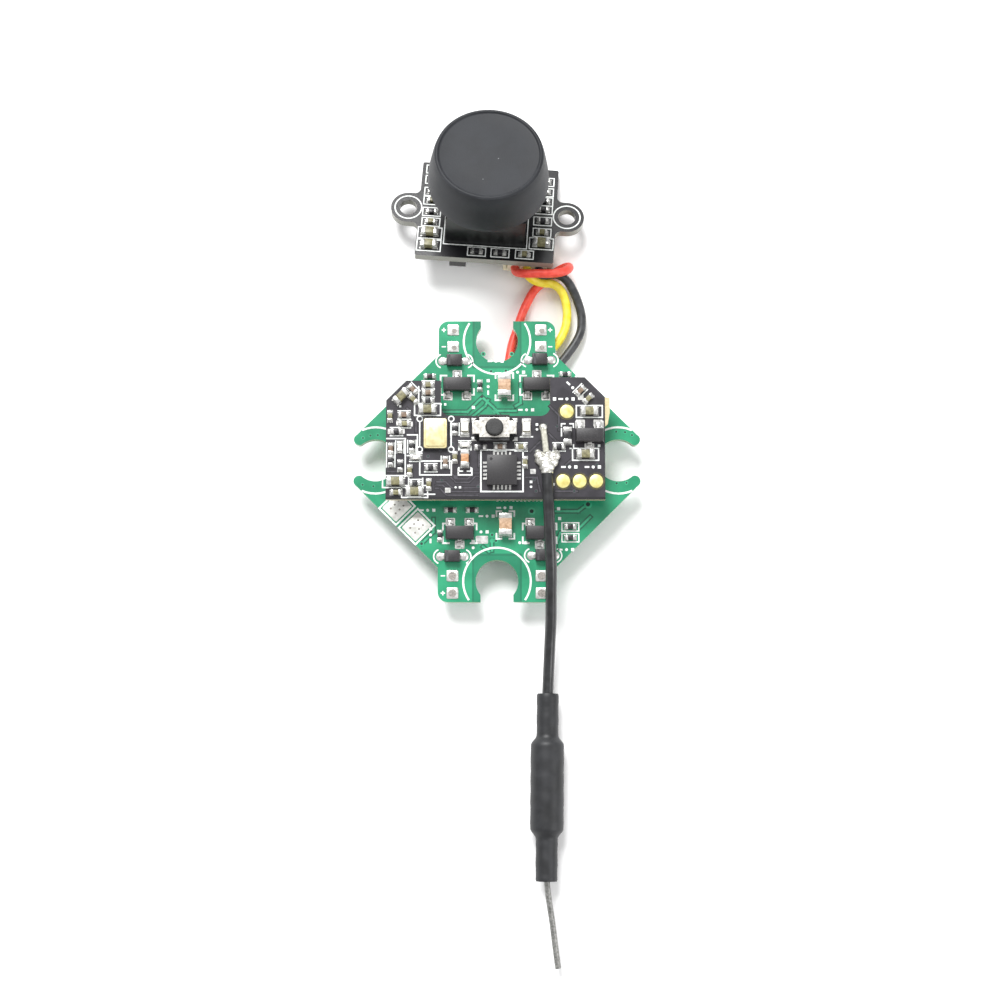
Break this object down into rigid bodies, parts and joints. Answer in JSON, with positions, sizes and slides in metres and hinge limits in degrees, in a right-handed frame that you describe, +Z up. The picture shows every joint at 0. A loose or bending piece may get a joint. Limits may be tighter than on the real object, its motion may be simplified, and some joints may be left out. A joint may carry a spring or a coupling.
{
  "type": "flight controller board",
  "caption": "Diamond flight controller board with stacked video board, tilted camera module on wires and a sleeve antenna.",
  "frame": {"origin": "under the middle of the main board, on the surface that its underside parts rest on", "axes": "+Z up through the boards, +Y from the main board towards the camera module, +X to the right"},
  "size_m": [0.029, 0.0849, 0.014],
  "materials": {
    "green_board": "gloss solder mask",
    "black_board": "gloss solder mask",
    "solder": "tinned",
    "chip_black": "moulded epoxy",
    "ceramic_tan": "ceramic body with tinned ends",
    "ceramic_olive": "ceramic body with tinned ends",
    "ferrite": "sintered ferrite",
    "tantalum": "moulded epoxy",
    "black_plastic": "moulded",
    "gloss_black": "polished",
    "pin_gold": "plated",
    "steel": "stamped",
    "crystal_metal": "plated lid",
    "led_white": "milky resin",
    "clear_dielectric": "translucent",
    "cable_black": "smooth jacket",
    "heat_shrink": "satin tube",
    "cap_rubber": "matte moulded",
    "lens_glass": "coated",
    "filter_glass": "coated",
    "sensor": "glass-topped",
    "cream_plastic": "moulded",
    "wire_red": "silicone",
    "wire_yellow": "silicone",
    "wire_black": "silicone"
  },
  "bodies": {
    "root": {"main_board": "green_board", "motor_pads": "solder", "battery_pads": "solder", "motor_mosfet_1": "chip_black", "motor_mosfet_2": "chip_black", "motor_mosfet_3": "chip_black", "motor_mosfet_4": "chip_black", "flyback_diode_1": "chip_black", "flyback_diode_2": "chip_black", "flyback_diode_3": "chip_black", "flyback_diode_4": "chip_black", "bulk_capacitor_1": "ceramic_tan", "bulk_capacitor_2": "ceramic_tan", "main_passives": "chip_black", "mcu_chip": "chip_black", "gyro_chip": "chip_black", "boost_inductor": "ferrite", "boost_regulator": "chip_black", "output_capacitors": "tantalum", "header_spacer_left": "black_plastic", "header_spacer_right": "black_plastic", "header_pins_left": "pin_gold", "header_pins_right": "pin_gold", "video_board": "black_board", "crystal_base": "chip_black", "crystal_lid": "crystal_metal", "button_base": "black_plastic", "button_plate": "steel", "button_contact": "steel", "status_led_left": "led_white", "status_led_right": "led_white", "transmitter_chip": "chip_black", "video_regulator": "chip_black", "video_medium_parts": "ceramic_tan", "video_small_parts": "ceramic_olive", "test_pads": "pin_gold", "antenna_solder": "solder", "antenna_core": "clear_dielectric", "antenna_coax": "cable_black", "antenna_sleeve": "heat_shrink", "antenna_ferrule": "pin_gold", "antenna_whip": "solder", "camera_board": "black_board", "lens_holder": "gloss_black", "image_sensor": "sensor", "infrared_filter": "filter_glass", "camera_small_parts": "ceramic_olive", "camera_underside_part": "chip_black", "camera_socket": "cream_plastic", "camera_plug": "cream_plastic", "wire_red": "wire_red", "wire_yellow": "wire_yellow", "wire_black": "wire_black", "wire_joints": "solder"},
    "plunger": {"button_plunger": "black_plastic"},
    "lens_glasses": {"front_glass": "lens_glass", "rear_glass": "lens_glass"},
    "lens": {"lens_barrel": "black_plastic"},
    "cap": {"lens_cap": "cap_rubber"}
  },
  "joints": [
    {"name": "button_press", "type": "slide", "parent": "root", "child": "plunger", "axis": [0, 0, -1], "range_m": [0, 0.00025], "stiffness_N_per_m": 50},
    {"name": "lens_travel", "type": "slide", "parent": "root", "child": "lens_glasses", "axis": [0.0205, 0.3083, 0.9511], "range_m": [-0.00036, 0.00071]},
    {"name": "lens_focus", "type": "hinge", "parent": "lens_glasses", "child": "lens", "pos_m": [-0.00088, 0.02765, 0.00748], "axis": [0.0205, 0.3083, 0.9511], "range_deg": [-360, 720]},
    {"name": "cap_pull", "type": "slide", "parent": "lens", "child": "cap", "axis": [0.0205, 0.3083, 0.9511], "range_m": [0, 0.008]}
  ],
  "couplings": [
    {"joint": "lens_travel", "follows": "lens_focus", "m_per_rad": 0.000055704}
  ]
}
